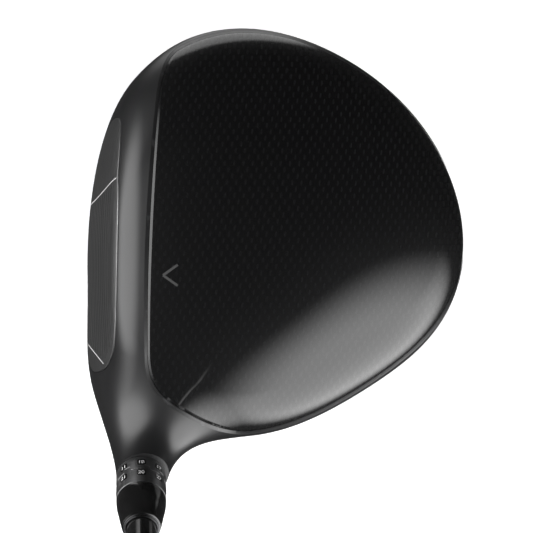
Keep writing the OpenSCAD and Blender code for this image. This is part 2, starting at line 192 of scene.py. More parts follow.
def hosel_field(p):
    t = p @ AXIS
    radius = HOSEL_R + HOSEL_FLARE * np.maximum(HOSEL_END - t, 0)
    off = np.linalg.norm(p - t[:, None] * AXIS, axis=1)
    return smax(off - radius, HOSEL_LOW - t, HOSEL_LOW_BLEND)


def head_field(p):
    """Below zero inside the head, hosel included; near zero it is close to a distance in millimetres."""
    return smin(body_field(p), hosel_field(p), BLEND_HOSEL)


def gradient(field, p):
    step = 0.02
    out = np.zeros_like(p)
    for k in range(3):
        move = np.zeros(3)
        move[k] = step
        out[:, k] = (field(p + move) - field(p - move)) / (2 * step)
    return out


def onto_level(field, p, level=0.0, steps=4):
    """Moves points along the field's gradient until they lie on one of its levels."""
    for _ in range(steps):
        g = gradient(field, p)
        p = p - ((field(p) - level) / np.sum(g * g, axis=1))[:, None] * g
    return p


def along(field, start, direction, level=0.0, reach=FAR):
    """Points where rays that start inside first reach a level of a field that grows along them."""
    low = np.zeros(len(start))
    high = np.full(len(start), reach)
    for _ in range(32):
        mid = (low + high) / 2
        inside = field(start + mid[:, None] * direction) < level
        low = np.where(inside, mid, low)
        high = np.where(inside, high, mid)
    return start + low[:, None] * direction


# ---------- Meshes ----------


def raw_object(name, points, faces):
    mesh = bpy.data.meshes.new(name)
    mesh.from_pydata((np.asarray(points) * MM).tolist(), [], faces)
    obj = bpy.data.objects.new(name, mesh)
    bpy.context.scene.collection.objects.link(obj)
    return obj


def face_outward(obj):
    work = bmesh.new()
    work.from_mesh(obj.data)
    bmesh.ops.recalc_face_normals(work, faces=work.faces)
    work.to_mesh(obj.data)
    work.free()
    return obj


def shade(obj, degrees=32):
    obj.data.shade_smooth()
    obj.data.set_sharp_from_angle(angle=math.radians(degrees))
    return obj


def apply_modifiers(obj):
    graph = bpy.context.evaluated_depsgraph_get()
    mesh = bpy.data.meshes.new_from_object(obj.evaluated_get(graph))
    obj.modifiers.clear()
    obj.data = mesh
    return obj


def drop(obj):
    bpy.data.objects.remove(obj)


def combine(target, other, operation="DIFFERENCE", keep=False):
    tool = target.modifiers.new("cut", "BOOLEAN")
    tool.operation = operation
    tool.solver = "MANIFOLD"
    tool.object = other
    apply_modifiers(target)
    if not keep:
        drop(other)
    return target


def loft(name, rings, closed_ends=True):
    """Closed skin through rings of points, each ring with the same number of points."""
    count = len(rings[0])
    faces = []
    for j in range(len(rings) - 1):
        for i in range(count):
            a, b = j * count + i, j * count + (i + 1) % count
            faces.append((a, b, b + count, a + count))
    points = np.concatenate(rings)
    if closed_ends:
        faces.append(tuple(reversed(range(count))))
        faces.append(tuple((len(rings) - 1) * count + i for i in range(count)))
    else:
        last = (len(rings) - 1) * count
        for i in range(count):
            faces.append((last + i, last + (i + 1) % count, (i + 1) % count, i))
    return face_outward(raw_object(name, points, faces))


def body_skin(name, level, around, up):
    """The head without its hosel, at a level of its field."""
    phi = 2 * np.pi * np.arange(around) / around
    rings = []
    for e in np.radians(np.linspace(89.4, -89.4, up)):
        d = np.stack([np.cos(phi) * math.cos(e), np.sin(phi) * math.cos(e), np.full(around, math.sin(e))], 1)
        rings.append(along(body_field, np.tile(CENTRE, (around, 1)), d, level))
    return loft(name, rings)


def neck_skin(name, low, high, around, rows):
    a = 2 * np.pi * np.arange(around) / around
    d = np.cos(a)[:, None] * SIDE + np.sin(a)[:, None] * ACROSS
    reach = 26.0
    rings = []
    for t in np.linspace(low, high, rows):
        rings.append(along(head_field, np.tile(t * AXIS, (around, 1)), d, 0.0, reach))
    return loft(name, rings)


def prism(name, outline, low, high):
    """Extrudes a plan outline between two heights."""
    rings = [np.column_stack([outline, np.full(len(outline), z)]) for z in (low, high)]
    return loft(name, rings)


def axis_points(t, r, angle):
    t, r, angle = np.broadcast_arrays(t, r, angle)
    ring = np.cos(angle)[..., None] * SIDE + np.sin(angle)[..., None] * ACROSS
    return t[..., None] * AXIS + r[..., None] * ring


def revolve(name, profile, around=96, place=axis_points):
    """Turns a closed profile of (radius, level) round the axis. A level may be an array, one per step."""
    angle = 2 * np.pi * np.arange(around) / around
    return loft(name, [place(t, r, angle) for r, t in profile], closed_ends=False)


# ---------- Materials ----------


class Paint:
    """A material, and the node steps that the finishes share. Coordinates are the piece's own, in metres."""

    def __init__(self, name, color, rough, metal=0.0, **sockets):
        self.material = bpy.data.materials.new(name)
        self.material.use_nodes = True
        self.tree = self.material.node_tree
        self.shader = self.tree.nodes["Principled BSDF"]
        self.shader.inputs["Base Color"].default_value = (*color, 1)
        self.shader.inputs["Roughness"].default_value = rough
        self.shader.inputs["Metallic"].default_value = metal
        for socket, value in sockets.items():
            self.shader.inputs[socket.replace("_", " ")].default_value = value
        self.place = self.node("ShaderNodeTexCoord").outputs["Object"]
        self.heights = []

    def node(self, kind, inputs=None, **settings):
        made = self.tree.nodes.new(kind)
        for key, value in settings.items():
            setattr(made, key, value)
        for key, value in (inputs or {}).items():
            if isinstance(value, bpy.types.NodeSocket):
                self.tree.links.new(value, made.inputs[key])
            else:
                made.inputs[key].default_value = value
        return made

    def math(self, operation, a, b=0.0):
        return self.node("ShaderNodeMath", {0: a, 1: b}, operation=operation).outputs[0]

    def stretched(self, x, y, z):
        inputs = {0: self.place, 1: (x, y, z)}
        return self.node("ShaderNodeVectorMath", inputs, operation="MULTIPLY").outputs[0]

    def noise(self, scale, detail=3.0, place=None):
        inputs = {"Vector": place or self.place, "Scale": scale, "Detail": detail}
        return self.node("ShaderNodeTexNoise", inputs).outputs["Fac"]

    def spread(self, value, low, high, start=0.0, end=1.0):
        inputs = {"Value": value, "From Min": start, "From Max": end, "To Min": low, "To Max": high}
        return self.node("ShaderNodeMapRange", inputs).outputs["Result"]

    def blend(self, factor, a, b):
        made = self.node("ShaderNodeMix", data_type="RGBA")
        for index, value in ((0, factor), (6, a), (7, b)):
            if isinstance(value, bpy.types.NodeSocket):
                self.tree.links.new(value, made.inputs[index])
            else:
                made.inputs[index].default_value = value if index == 0 else (*value, 1)
        return made.outputs[2]

    def color(self, value):
        self.tree.links.new(value, self.shader.inputs["Base Color"])

    def rough(self, value):
        self.tree.links.new(value, self.shader.inputs["Roughness"])

    def bump(self, height, strength, distance):
        inputs = {"Height": height, "Strength": strength, "Distance": distance}
        if self.heights:
            inputs["Normal"] = self.heights[-1]
        self.heights.append(self.node("ShaderNodeBump", inputs).outputs["Normal"])
        self.tree.links.new(self.heights[-1], self.shader.inputs["Normal"])

    def worn(self, base, bare, start=0.53, end=0.6):
        """Mixes in a bare colour where the surface is sharply convex."""
        edge = self.node("ShaderNodeNewGeometry").outputs["Pointiness"]
        return self.blend(self.spread(edge, 0.0, 0.5, start, end), base, bare)


def satin_paint():
    p = Paint("satin_black_paint", (0.012, 0.012, 0.0125), 0.36, Specular_IOR_Level=0.62)
    grain = p.noise(5200.0, 2.0)
    cloud = p.noise(60.0, 4.0)
    tone = p.blend(p.spread(cloud, 0.0, 1.0, 0.3, 0.7), (0.010, 0.010, 0.0105), (0.015, 0.015, 0.0155))
    p.color(p.worn(tone, (0.05, 0.05, 0.052)))
    p.rough(p.spread(grain, 0.27, 0.37))
    p.bump(grain, 0.16, 0.00006)
    return p.material


def carbon_weave(name, warp=0.00133, weft=0.00185, turn=8.0):
    """Clear-coated plain weave of flat carbon tows, laid in plan, with a painted sheen: a lighter colour on
    the crests of the tows that lie on top.
    """
    coat = dict(Coat_Weight=1.0, Coat_Roughness=0.045, Specular_IOR_Level=0.1)
    p = Paint(name, (0.005, 0.005, 0.0055), 0.3, **coat)
    parts = p.node("ShaderNodeSeparateXYZ", {0: p.place}).outputs
    lean = math.radians(turn)
    along_x = p.math("MULTIPLY", parts[0], math.cos(lean))
    along_y = p.math("MULTIPLY", parts[1], math.sin(lean))
    across = p.math("SUBTRACT", along_x, along_y)
    u = p.math("DIVIDE", across, warp)
    v = p.math("DIVIDE", parts[1], weft)
    cell = p.math("ADD", p.math("FLOOR", u), p.math("FLOOR", v))
    over = p.math("MODULO", p.math("ABSOLUTE", cell), 2.0)
    in_u = p.math("FRACT", u)
    in_v = p.math("FRACT", v)
    warp_dome = p.math("SINE", p.math("MULTIPLY", in_u, math.pi))
    weft_dome = p.math("SINE", p.math("MULTIPLY", in_v, math.pi))
    both = p.math("MULTIPLY", warp_dome, weft_dome)
    crest = p.math("MULTIPLY", p.math("POWER", warp_dome, 2.2), p.math("POWER", weft_dome, 0.5))
    painted_sheen_crest = p.math("MULTIPLY", crest, over)
    fibre = p.noise(900.0, 2.0, p.stretched(7.0, 0.6, 1.0))
    dark = p.blend(p.spread(fibre, 0.0, 1.0, 0.3, 0.7), (0.0022, 0.0022, 0.0024), (0.0036, 0.0036, 0.0038))
    # Crests of the upper tows get a lighter colour, which is a painted sheen; the same mask also lowers
    # roughness and raises the bump
    p.color(p.blend(p.spread(painted_sheen_crest, 0.0, 1.0), dark, (0.0075, 0.0075, 0.0079)))
    p.rough(p.spread(painted_sheen_crest, 0.42, 0.28))
    under = p.math("MULTIPLY", p.math("SUBTRACT", 1.0, over), both)
    height = p.math("ADD", painted_sheen_crest, under)
    p.bump(height, 0.05, 0.00012)
    return p.material


def milled_face():
    p = Paint("milled_face_metal", (0.26, 0.26, 0.262), 0.38, 1.0)
    lines = p.noise(420.0, 3.0, p.stretched(3.0, 0.035, 3.0))
    fine = p.noise(1500.0, 2.0, p.stretched(2.0, 0.02, 2.0))
    p.color(p.blend(lines, (0.15, 0.15, 0.153), (0.28, 0.28, 0.28)))
    p.rough(p.spread(fine, 0.32, 0.5))
    p.bump(lines, 0.5, 0.00012)
    p.bump(fine, 0.35, 0.00005)
    return p.material


def turned_metal(name, color, rough, metal=1.0, lines=1800.0, depth=0.00004, strength=0.4):
    """Metal with fine turning lines round the shaft's axis."""
    p = Paint(name, color, rough, metal)
    dot = p.node("ShaderNodeVectorMath", {0: p.place, 1: tuple(AXIS)}, operation="DOT_PRODUCT")
    level = dot.outputs["Value"]
    cut = p.node("ShaderNodeTexNoise", {"W": level, "Scale": lines, "Detail": 3.0}, noise_dimensions="1D")
    wear = p.noise(300.0, 4.0)
    lighter = tuple(min(c * 1.5 + 0.01, 1.0) for c in color)
    bare = tuple(min(c * 2.5 + 0.1, 1.0) for c in color)
    p.color(p.worn(p.blend(cut.outputs["Fac"], color, lighter), bare))
    p.rough(p.spread(wear, rough * 0.8, rough * 1.25, 0.3, 0.7))
    p.bump(cut.outputs["Fac"], strength, depth)
    return p.material


def machined(name, color, rough=0.28):
    """Bare or coated metal with fine tool marks and small scratches."""
    p = Paint(name, color, rough, 1.0)
    marks = p.noise(2600.0, 3.0, p.stretched(1.0, 1.0, 0.15))
    stain = p.noise(240.0, 4.0)
    lighter = tuple(min(c * 1.3, 1.0) for c in color)
    p.color(p.worn(p.blend(p.spread(stain, 0.0, 1.0, 0.35, 0.65), color, lighter), lighter))
    p.rough(p.spread(marks, rough * 0.7, rough * 1.4, 0.25, 0.75))
    p.bump(marks, 0.2, 0.00003)
    return p.material


def polished_black(name, rough=0.09, tone=0.006, swirl=0.03):
    p = Paint(name, (tone, tone, tone), rough, 0.0, Coat_Weight=0.6, Coat_Roughness=0.04)
    haze = p.noise(190.0, 4.0)
    p.color(p.blend(p.spread(haze, 0.0, 1.0, 0.35, 0.65), (tone,) * 3, (tone * 1.6,) * 3))
    p.rough(p.spread(haze, rough * 0.7, rough * 1.5, 0.3, 0.7))
    p.bump(p.noise(900.0, 2.0), swirl, 0.00003)
    return p.material


def rubber():
    p = Paint("grip_rubber", (0.018, 0.018, 0.018), 0.72, Specular_IOR_Level=0.35)
    pores = p.noise(2400.0, 3.0)
    dust = p.noise(45.0, 4.0)
    p.color(p.blend(p.spread(dust, 0.0, 1.0, 0.35, 0.75), (0.014, 0.014, 0.014), (0.028, 0.028, 0.027)))
    p.rough(p.spread(pores, 0.6, 0.85))
    p.bump(pores, 0.5, 0.00015)
    return p.material


def plain_paint(name, tone):
    p = Paint(name, (tone, tone, tone), 0.5)
    speck = p.noise(3000.0, 2.0)
    p.color(p.blend(speck, (tone * 0.86,) * 3, (min(tone * 1.1, 1.0),) * 3))
    p.rough(p.spread(speck, 0.42, 0.6))
    p.bump(speck, 0.15, 0.00002)
    return p.material


def paper_tape():
    p = Paint("masking_tape", (0.6, 0.54, 0.4), 0.85)
    crepe = p.noise(900.0, 3.0, p.stretched(0.4, 1.0, 2.5))
    p.color(p.blend(crepe, (0.52, 0.46, 0.33), (0.68, 0.62, 0.47)))
    p.rough(p.spread(crepe, 0.75, 0.95))
    p.bump(crepe, 0.5, 0.0001)
    return p.material


FINISH = {
    "chassis_paint": satin_paint(),
    "face_metal": milled_face(),
    "crown_carbon": carbon_weave("crown_carbon_weave"),
    "sole_carbon": carbon_weave("sole_carbon_weave", turn=45.0),
    "mark_paint": plain_paint("printed_mark", 0.75),
    "tube_titanium": machined("machined_titanium", (0.24, 0.235, 0.225)),
    "screw_steel": machined("screw_steel", (0.42, 0.42, 0.43), 0.24),
    "sleeve_metal": turned_metal("anodised_sleeve", (0.2, 0.2, 0.203), 0.4),
    "ferrule_plastic": polished_black("ferrule_gloss"),
    "trim_metal": machined("ferrule_trim_metal", (0.07, 0.07, 0.072), 0.3),
    "brass": machined("turned_brass", (0.62, 0.43, 0.16), 0.3),
    "shaft_graphite": polished_black("shaft_coat", 0.13, 0.008),
    "tape": paper_tape(),
    "grip_rubber": rubber(),
    "weight_metal": machined("coated_tungsten", (0.13, 0.13, 0.135), 0.3),
}
BLACK_PAD = polished_black("dial_pad_black", 0.25, 0.004)
GREY_MARK = plain_paint("crown_mark_grey", 0.038)
PALE_LINE = plain_paint("face_line_grey", 0.42)
# Dark colour for the score lines: painted shade standing in for the shade inside the grooves
SCORE_SHADE = plain_paint("score_line_painted_shade", 0.03)


def finish_piece(obj, body, slot, *replaced, material=None):
    obj.data.materials.clear()
    obj.data.materials.append(material or FINISH[slot])
    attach(obj, body)
    if replaced:
        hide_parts(*replaced)
    return obj


def field_normals(obj, field=head_field, band=0.5, aligned=0.985):
    """Shades the skin with the field's own normals and leaves cut walls and bevels flat.

    A face is skin if it is within the band of the surface and its normal is aligned with the field's.
    """
    mesh = obj.data
    count = len(mesh.loops)
    index = np.zeros(count, np.int64)
    mesh.loops.foreach_get("vertex_index", index)
    co = np.zeros(len(mesh.vertices) * 3)
    mesh.vertices.foreach_get("co", co)
    points = co.reshape(-1, 3) / MM
    value = field(points)
    smooth = gradient(field, points)
    smooth /= np.linalg.norm(smooth, axis=1)[:, None]
    flat = np.zeros(len(mesh.polygons) * 3)
    mesh.polygons.foreach_get("normal", flat)
    total = np.zeros(len(mesh.polygons), np.int64)
    mesh.polygons.foreach_get("loop_total", total)
    corner = np.repeat(flat.reshape(-1, 3), total, axis=0)
    skin = (np.abs(value[index]) < band) & (np.sum(corner * smooth[index], axis=1) > aligned)
    normals = np.where(skin[:, None], smooth[index], corner)
    mesh.shade_smooth()
    mesh.normals_split_custom_set(normals.tolist())
    return obj


# ---------- Outlines of the panels ----------

STEPS = 360
PHI = 2 * np.pi * np.arange(STEPS) / STEPS


def seam_radius(phi):
    """Crown seam in plan: a slightly curved front line, a diagonal beside the hosel, and the skirt."""
    # Directions closer than this to a line's own never reach it
    grazing = 0.05
    c, s = np.cos(phi), np.sin(phi)
    front = np.zeros_like(phi)
    for _ in range(3):
        y = CENTRE[1] + np.minimum(front, HEAD_REACH) * s
        line = SEAM_FRONT + (y - SEAM_FRONT_Y) ** 2 / SEAM_FRONT_CURVE
        front = np.where(c > -grazing, FAR, np.minimum((line - CENTRE[0]) / np.minimum(c, -grazing), FAR))
    slope = SEAM_DIAGONAL[0] * c + SEAM_DIAGONAL[1] * s
    across = np.minimum(SEAM_DIAGONAL_D / np.maximum(slope, grazing), FAR)
    diagonal = np.where(slope < grazing, FAR, across)
    return smin(smin(plan_r(phi) - SEAM_INSET, front, SEAM_BLEND), diagonal, SEAM_BLEND)


def polar(at, radius, phi=PHI):
    return np.stack([at[0] + radius * np.cos(phi), at[1] + radius * np.sin(phi)], 1)


def edge_radius(inside, at, reach=HEAD_REACH):
    """Radius in each direction at which a two-dimensional field reaches zero."""
    low, high = np.zeros(STEPS), np.full(STEPS, reach)
    for _ in range(30):
        mid = (low + high) / 2
        inner = inside(polar(at, mid)) < 0
        low = np.where(inner, mid, low)
        high = np.where(inner, high, mid)
    return low


def sole_region(side):
    def inside(q):
        flat = q - CENTRE[:2]
        ring = np.hypot(flat[:, 0], flat[:, 1]) - SOLE_SHARE * plan_r(np.arctan2(flat[:, 1], flat[:, 0]))
        front = smax(ring, SOLE_FRONT_X - q[:, 0], SEAM_BLEND)
        return smax(front, SPINE_HALF - side * flat[:, 1], SEAM_BLEND)
    return inside


def face_region(q):
    p = np.stack([face_x(q[:, 0], q[:, 1]), q[:, 0], q[:, 1]], 1)
    rest = smin(dome_field(p), hosel_field(p), BLEND_HOSEL)
    margin = FACE_MARGIN - FACE_TOE_GAIN * np.clip((q[:, 0] - FACE_TOE_FROM) / FACE_TOE_OVER, 0, 1)
    return np.maximum(rest + margin, FACE_HOSEL_MARGIN - hosel_field(p))


def on_crown(q, level):
    start = np.column_stack([q, np.full(len(q), 30.0)])
    return along(head_field, start, np.array([0.0, 0.0, 1.0]), level, 45.0)


def on_sole(q, level):
    start = np.column_stack([q, np.full(len(q), 26.0)])
    return along(head_field, start, np.array([0.0, 0.0, -1.0]), level, 40.0)


def on_face(q, level):
    """Places on the face, moved straight outwards along X by the level."""
    forward = np.array([-1.0, 0.0, 0.0])
    start = np.column_stack([np.full(len(q), 2.0), q])
    return along(head_field, start, forward, 0.0, 40.0) + level * forward


def panel(name, at, radius, place, thick, rings, sink=0.0, bevel_w=0.75, bevel_d=0.17):
    """Closed panel on the head: a skin with a bevelled edge, a wall and an inner skin."""
    edge = radius - SEAM_GAP
    spans = [edge * s for s in np.linspace(0.015, 1.0, rings)[:-1] ** 0.9]
    spans = [np.minimum(r, edge - 2.2) for r in spans]
    shapes = [place(polar(at, r), -sink) for r in spans]
    for inset in (1.8, 1.5, 1.2, bevel_w + 0.2, bevel_w):
        shapes.append(place(polar(at, edge - inset), -sink))
    shapes.append(place(polar(at, edge), -sink - bevel_d))
    shapes.append(place(polar(at, edge), -thick))
    shapes.append(place(polar(at, edge - 2.0), -thick))
    shapes.append(place(polar(at, edge * 0.5), -thick))
    shapes.append(place(polar(at, edge * 0.03), -thick))
    return field_normals(loft(name, shapes))


def chamfer_ring(name, at, radius, place, outer, inner, depth):
    """A three-sided ring that cuts a sloping edge round a panel's recess."""
    rim = onto_level(head_field, place(polar(at, radius + outer), 0.0))
    base = place(polar(at, radius), 0.0)
    up = gradient(head_field, base)
    up /= np.linalg.norm(up, axis=1)[:, None]
    tangent = np.roll(base, -1, axis=0) - np.roll(base, 1, axis=0)
    tangent /= np.linalg.norm(tangent, axis=1)[:, None]
    inward = np.cross(up, tangent)
    inward *= np.sign(np.sum(inward * (base.mean(axis=0) - base), axis=1))[:, None]
    rings = [rim + 0.02 * up, base + inward * inner + 0.8 * up, base + inward * inner - depth * up]
    return loft(name, [np.array(ring) for ring in rings], closed_ends=False)


CROWN_EDGE = seam_radius(PHI)
SOLE_AT = {1: (50.0, 64.0), -1: (50.0, 13.0)}
SOLE_EDGE = {side: edge_radius(sole_region(side), SOLE_AT[side]) for side in SOLE_AT}
FACE_PLACE = (FACE_AT[1], FACE_AT[2])
FACE_EDGE = edge_radius(face_region, FACE_PLACE)

# ---------- Head ----------


def round_cut(name, low, high, radius, place):
    angle = 2 * np.pi * np.arange(96) / 96
    return loft(name, [place(t, radius, angle) for t in (low, high)])


def at_joint(name):
    """Frame of a sole weight: its place in millimetres and a function that puts rings round its axis."""
    joint = JOINTS[name]
    origin = np.array(joint["pos_m"]) / MM
    down = np.array(joint["axis"])
    first = np.cross(down, [0.0, 1.0, 0.0])
    first /= np.linalg.norm(first)
    second = np.cross(down, first)

    def place(t, r, angle):
        t, r, angle = np.broadcast_arrays(t, r, angle)
        ring = np.cos(angle)[..., None] * first + np.sin(angle)[..., None] * second
        return origin + t[..., None] * down + r[..., None] * ring
    return place


REAR = at_joint("rear_screw_turn")
FRONT = at_joint("front_screw_turn")
REAR_R = 7.5
FRONT_R = 6.0
PORT_WALL = 1.68


def head_skin():
    """Smooth skin of the head and hosel, remeshed evenly and then drawn exactly onto the field."""
    voxel = 0.85 * MM
    skin = body_skin("chassis_shell", 0.0, 200, 110)
    neck = neck_skin("neck", 16.0, 62.0, 96, 70)
    mesh = bmesh.new()
    mesh.from_mesh(skin.data)
    mesh.from_mesh(neck.data)
    mesh.to_mesh(skin.data)
    mesh.free()
    drop(neck)
    remesh = skin.modifiers.new("even", "REMESH")
    remesh.mode = "VOXEL"
    remesh.voxel_size = voxel
    apply_modifiers(skin)
    co = np.zeros(len(skin.data.vertices) * 3)
    skin.data.vertices.foreach_get("co", co)
    points = co.reshape(-1, 3) / MM
    points = onto_level(head_field, points)
    skin.data.vertices.foreach_set("co", (points * MM).ravel())
    return skin


def hosel_cap():
    angle = 2 * np.pi * np.arange(48) / 48
    return loft("above_hosel", [axis_points(t, 20.0, angle) for t in (HOSEL_END - 0.02, HOSEL_END + 12)])


def face_slot():
    """Slab that follows the face, for the opening that its plate fills."""
    spans = [FACE_EDGE * share for share in np.linspace(0.02, 1.0, 24)]
    outer = [on_face(polar(FACE_PLACE, r), 1.0) for r in spans]
    inner = [on_face(polar(FACE_PLACE, r), -FACE_T - 0.05) for r in reversed(spans)]
    return loft("face_slot", outer + inner)


def chassis():
    shell = head_skin()
    combine(shell, hosel_cap())
    combine(shell, body_skin("cavity", -SHELL_T, 96, 54))
    seat = body_skin("panel_seat", -PANEL_T, 160, 90)
    combine(shell, combine(prism("crown_cut", polar(CENTRE, CROWN_EDGE), *CROWN_CUT_Z), seat, keep=True))
    combine(shell, prism("crown_hole", polar(CENTRE, CROWN_EDGE - LEDGE_W), *CROWN_HOLE_Z))
    for side, at in SOLE_AT.items():
        edge = SOLE_EDGE[side]
        combine(shell, combine(prism("sole_cut", polar(at, edge), *SOLE_CUT_Z), seat, keep=True))
        combine(shell, prism("sole_hole", polar(at, edge - LEDGE_W), *SOLE_HOLE_Z))
        combine(shell, chamfer_ring("sole_chamfer", at, edge, on_sole, 0.7, 0.3, 0.4))
    drop(seat)
    combine(shell, face_slot())
    combine(shell, chamfer_ring("crown_chamfer", CENTRE, CROWN_EDGE, on_crown, 1.1, 0.3, 0.45))
    combine(shell, chamfer_ring("face_chamfer", FACE_PLACE, FACE_EDGE, on_face, 0.5, 0.2, 0.3))
    combine(shell, round_cut("tube_hole", -20.0, 70.0, TUBE_R + 0.02, axis_points))
    combine(shell, round_cut("rear_hole", -12.0, 12.0, REAR_R + PORT_WALL + 0.02, REAR))
    combine(shell, round_cut("front_hole", -12.0, 12.0, FRONT_R + PORT_WALL + 0.02, FRONT))
    field_normals(shell)
    return finish_piece(shell, "head", "chassis_paint", "chassis")


def crown_panel():
    made = panel("crown_panel_skin", CENTRE, CROWN_EDGE, on_crown, PANEL_T, 70)
    return finish_piece(made, "head", "crown_carbon", "crown_panel")


def sole_panels():
    for side, name in ((1, "toe"), (-1, "heel")):
        made = panel(f"sole_skin_{name}", SOLE_AT[side], SOLE_EDGE[side], on_sole, PANEL_T, 30, bevel_w=0.5)
        finish_piece(made, "head", "sole_carbon", f"sole_panel_{name}")


def face_plate():
    made = panel("face_insert", FACE_PLACE, FACE_EDGE, on_face, FACE_T, 44, bevel_w=0.25, bevel_d=0.07)
    return finish_piece(made, "head", "face_metal", "face_plate")


def ribbon(name, path, width, proud, place=on_face):
    """Thin closed strip that follows a path on the head's skin."""
    path = np.asarray(path)
    run = np.gradient(path, axis=0)
    run /= np.linalg.norm(run, axis=1)[:, None]
    beside = np.stack([-run[:, 1], run[:, 0]], 1) * width / 2
    sunk = -0.1
    left, right = path + beside, path - beside
    rows = [place(left, proud), place(right, proud), place(right, sunk), place(left, sunk)]
    rings = [np.array([row[i] for row in rows]) for i in range(len(path))]
    return loft(name, rings)


def joined(name, objects):
    mesh = bmesh.new()
    for obj in objects:
        mesh.from_mesh(obj.data)
        drop(obj)
    data = bpy.data.meshes.new(name)
    mesh.to_mesh(data)
    mesh.free()
    made = bpy.data.objects.new(name, data)
    bpy.context.scene.collection.objects.link(made)
    return made


def frame_curve(z, side):
    """The two curved lines that frame the striking area, wider apart at the top."""
    low, high = (19.0, 26.5) if side > 0 else (22.5, 34.0)
    share = np.clip((z - 10) / 42, 0, 1)
    return FACE_AT[1] + side * (low + (high - low) * share ** 1.7)


def face_lines():
    z = np.linspace(11.0, 56.0, 90)
    bright = []
    for side in (1, -1):
        path = np.stack([frame_curve(z, side), z], 1)
        bright.append(ribbon("curve", path[face_region(path) < -0.6], 0.36, 0.03))
    finish_piece(shade(joined("face_frame_lines", bright)), "head", "mark_paint", material=PALE_LINE)
    scores = []
    for level in np.arange(14.0, 50.0, 2.6):
        ends = [frame_curve(np.array([level]), side)[0] - side * 1.2 for side in (-1, 1)]
        y = np.linspace(ends[0], ends[1], 40)
        path = np.stack([y, np.full(40, level)], 1)
        scores.append(ribbon("score", path[face_region(path) < -0.8], 0.5, 0.02))
    # Score lines are thin raised strips in a dark colour, painted shade in place of cut grooves
    finish_piece(shade(joined("face_score_lines", scores)), "head", "face_metal", material=SCORE_SHADE)


def crown_mark():
    """Small chevron behind the seam, pointing at the face."""
    at = np.array([8.5, 28.0])
    arms = []
    for side in (1, -1):
        s = np.linspace(0, 1, 14)[:, None]
        tip = at + np.array([-2.3, 0.0])
        end = at + np.array([1.9, side * 3.0])
        arms.append(ribbon("arm", tip + s * (end - tip), 0.7, 0.03, on_crown))
    mark = shade(joined("crown_chevron", arms))
    return finish_piece(mark, "head", "mark_paint", "alignment_mark", material=GREY_MARK)


# ---------- Adapter, ferrule, shaft and grip ----------

COGS = 8
AROUND = COGS * 36


def castle(angle, low, high, half=0.17, slope=0.06):
    """Levels of a castellated edge: high, but low over each cog."""
    near = np.abs((angle * COGS / (2 * np.pi) + 0.5) % 1 - 0.5)
    share = np.clip((half + slope - near) / slope, 0, 1)
    share = share * share * (3 - 2 * share)
    return high + (low - high) * share


def cog_ring():
    angle = 2 * np.pi * np.arange(AROUND) / AROUND + 0.5 * np.pi / COGS
    top = castle(angle, RING_TOP - 1.6, RING_TOP - 0.1)
    low = HOSEL_END + 0.05
    bevel = 0.05
    profile = [
        (BORE_R, low), (HOSEL_R - bevel, low), (HOSEL_R, low + bevel), (HOSEL_R, low + 1.2),
        (HOSEL_R, low + 2.4), (HOSEL_R, top - bevel), (HOSEL_R - bevel, top), (BORE_R, top),
    ]
    made = revolve("dial_ring", profile, AROUND)
    return finish_piece(shade(made, 24), "shaft_assembly", "sleeve_metal", "cog_ring")


def adapter_sleeve():
    angle = 2 * np.pi * np.arange(AROUND) / AROUND + 0.5 * np.pi / COGS
    barrel_r = BORE_R - 0.08
    core = TIP_R + 0.05
    barrel = [
        (2.5, 28.05), (barrel_r - 0.5, 28.05), (barrel_r, 28.6), (barrel_r, 33.0), (barrel_r - 0.12, 33.1),
        (barrel_r - 0.12, 34.4), (barrel_r, 34.5), (barrel_r, 52.0), (barrel_r - 0.12, 52.1),
        (barrel_r - 0.12, 53.4), (barrel_r, 53.5), (barrel_r, RING_TOP),
        (core, RING_TOP), (core, 36.0), (2.5, 36.0),
    ]
    finish_piece(shade(revolve("sleeve_barrel", barrel)), "shaft_assembly", "sleeve_metal", "adapter_sleeve")
    low = castle(angle, RING_TOP - 1.5, RING_TOP)
    wide = HOSEL_R - 0.02
    bevel = 0.05
    flange = [
        (barrel_r - 0.1, low), (wide - bevel, low), (wide, low + bevel), (wide, RING_TOP + 1.5),
        (wide, FLANGE_TOP - 0.1), (wide - 0.05, FLANGE_TOP - 0.05), (core, FLANGE_TOP - 0.05),
        (core, RING_TOP + 0.02), (barrel_r - 0.1, RING_TOP + 0.03),
    ]
    return finish_piece(shade(revolve("sleeve_flange", flange, AROUND), 24), "shaft_assembly", "sleeve_metal")


def pad(angle, level, width, height):
    """Small raised patch with cut corners on the ring or flange."""
    rows = []
    for t, share in ((-0.5, 0.72), (-0.32, 1.0), (0.32, 1.0), (0.5, 0.72)):
        a = angle + np.linspace(-0.5, 0.5, 9) * share * width / HOSEL_R
        rows.append((level + t * height, a))
    rings = []
    for t, a in rows:
        outer = axis_points(t, HOSEL_R + 0.05, a)
        inner = axis_points(t, HOSEL_R - 0.15, a[::-1])
        rings.append(np.concatenate([outer, inner]))
    return loft("pad", rings)


def numeral(text, angle, level, size):
    """A number wrapped round the ring, readable with its top towards the head."""
    curve = bpy.data.curves.new("numeral", "FONT")
    curve.body = text
    curve.size = size
    curve.align_x = "CENTER"
    curve.align_y = "CENTER"
    curve.extrude = 0.04
    curve.offset = 0.02
    obj = bpy.data.objects.new("numeral", curve)
    bpy.context.scene.collection.objects.link(obj)
    graph = bpy.context.evaluated_depsgraph_get()
    mesh = bpy.data.meshes.new_from_object(obj.evaluated_get(graph))
    drop(obj)
    co = np.zeros(len(mesh.vertices) * 3)
    mesh.vertices.foreach_get("co", co)
    flat = co.reshape(-1, 3)
    turn = angle - flat[:, 0] / HOSEL_R
    points = axis_points(level - flat[:, 1], HOSEL_R + 0.045 + flat[:, 2], turn)
    mesh.vertices.foreach_set("co", (points * MM).ravel())
    made = bpy.data.objects.new("numeral", mesh)
    bpy.context.scene.collection.objects.link(made)
    return made


